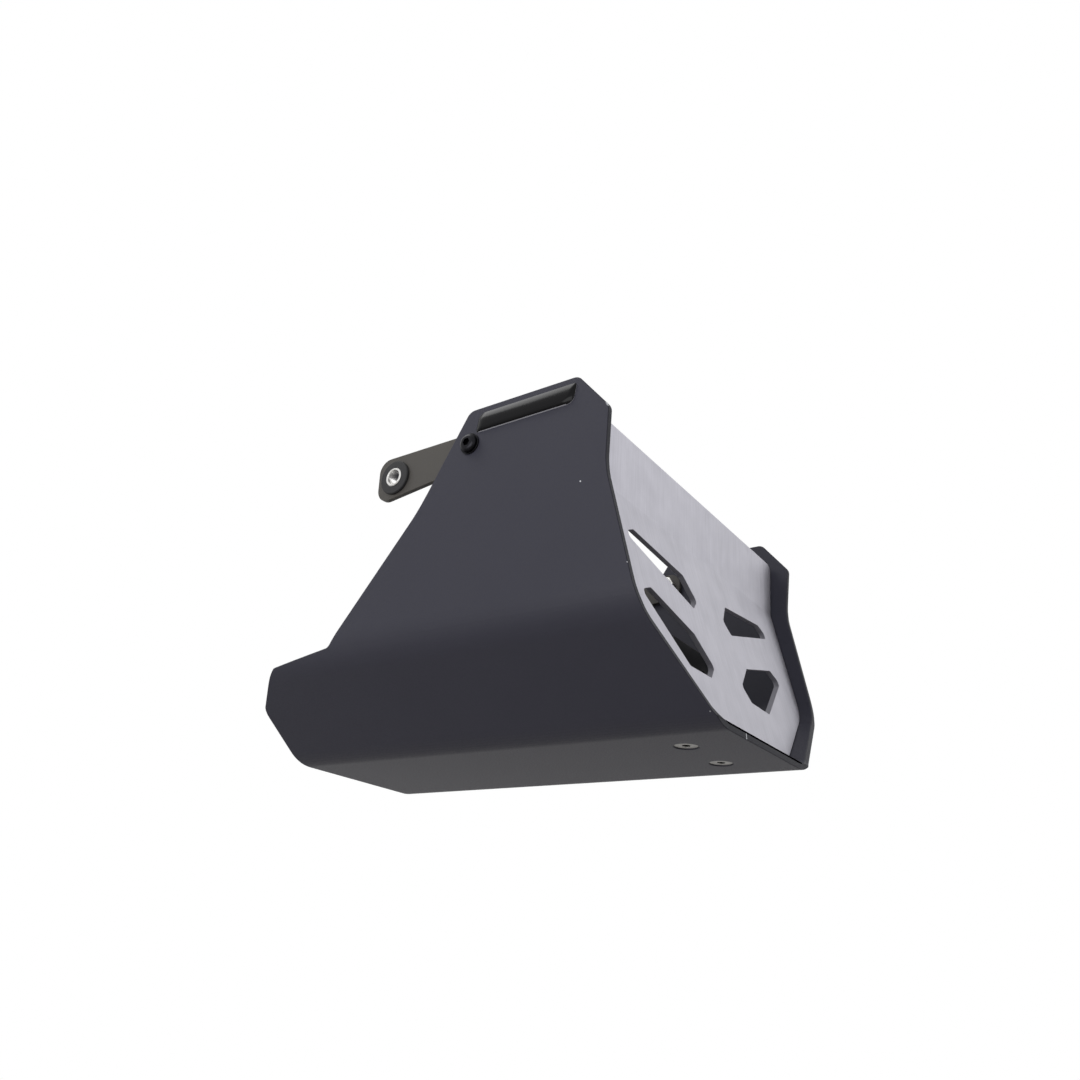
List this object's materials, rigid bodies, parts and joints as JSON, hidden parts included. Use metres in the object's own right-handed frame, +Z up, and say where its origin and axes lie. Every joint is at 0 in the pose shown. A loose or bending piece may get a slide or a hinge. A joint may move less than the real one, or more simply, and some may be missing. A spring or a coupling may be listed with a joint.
{
  "type": "engine guard",
  "caption": "Folded black belly pan with a bare slotted front plate, countersunk and button-head screws and rubber-mounted straps.",
  "frame": {"origin": "on the underside of the flat bottom, halfway along the pan, on its mirror plane", "axes": "+X to the front of the bike, +Y to its left, +Z up"},
  "size_m": [0.28, 0.2368, 0.167],
  "materials": {
    "badge": "domed gloss resin label",
    "pan": "fine-textured matt black powder coat on aluminium",
    "plate": "brushed and anodised sheet",
    "bracket": "matt black powder coat on steel",
    "strap": "satin dark grey coat on steel",
    "bright_fastener": "stainless steel, satin",
    "black_fastener": "black zinc, satin",
    "rubber": "moulded black rubber"
  },
  "bodies": {
    "root": {"belly_pan": "pan", "front_plate": "plate", "front_bracket": "bracket", "badge": "badge", "plate_screw_right": "bright_fastener", "plate_washer_right": "bright_fastener", "plate_nut_right": "bright_fastener", "side_screw_right": "black_fastener", "side_washer_right": "black_fastener", "side_nut_right": "bright_fastener", "side_bracket_right": "strap", "grommet_right": "rubber", "sleeve_right": "bright_fastener", "plate_screw_left": "bright_fastener", "plate_washer_left": "bright_fastener", "plate_nut_left": "bright_fastener", "side_screw_left": "black_fastener", "side_washer_left": "black_fastener", "side_nut_left": "bright_fastener", "side_bracket_left": "strap", "grommet_left": "rubber", "sleeve_left": "bright_fastener"}
  },
  "joints": []
}
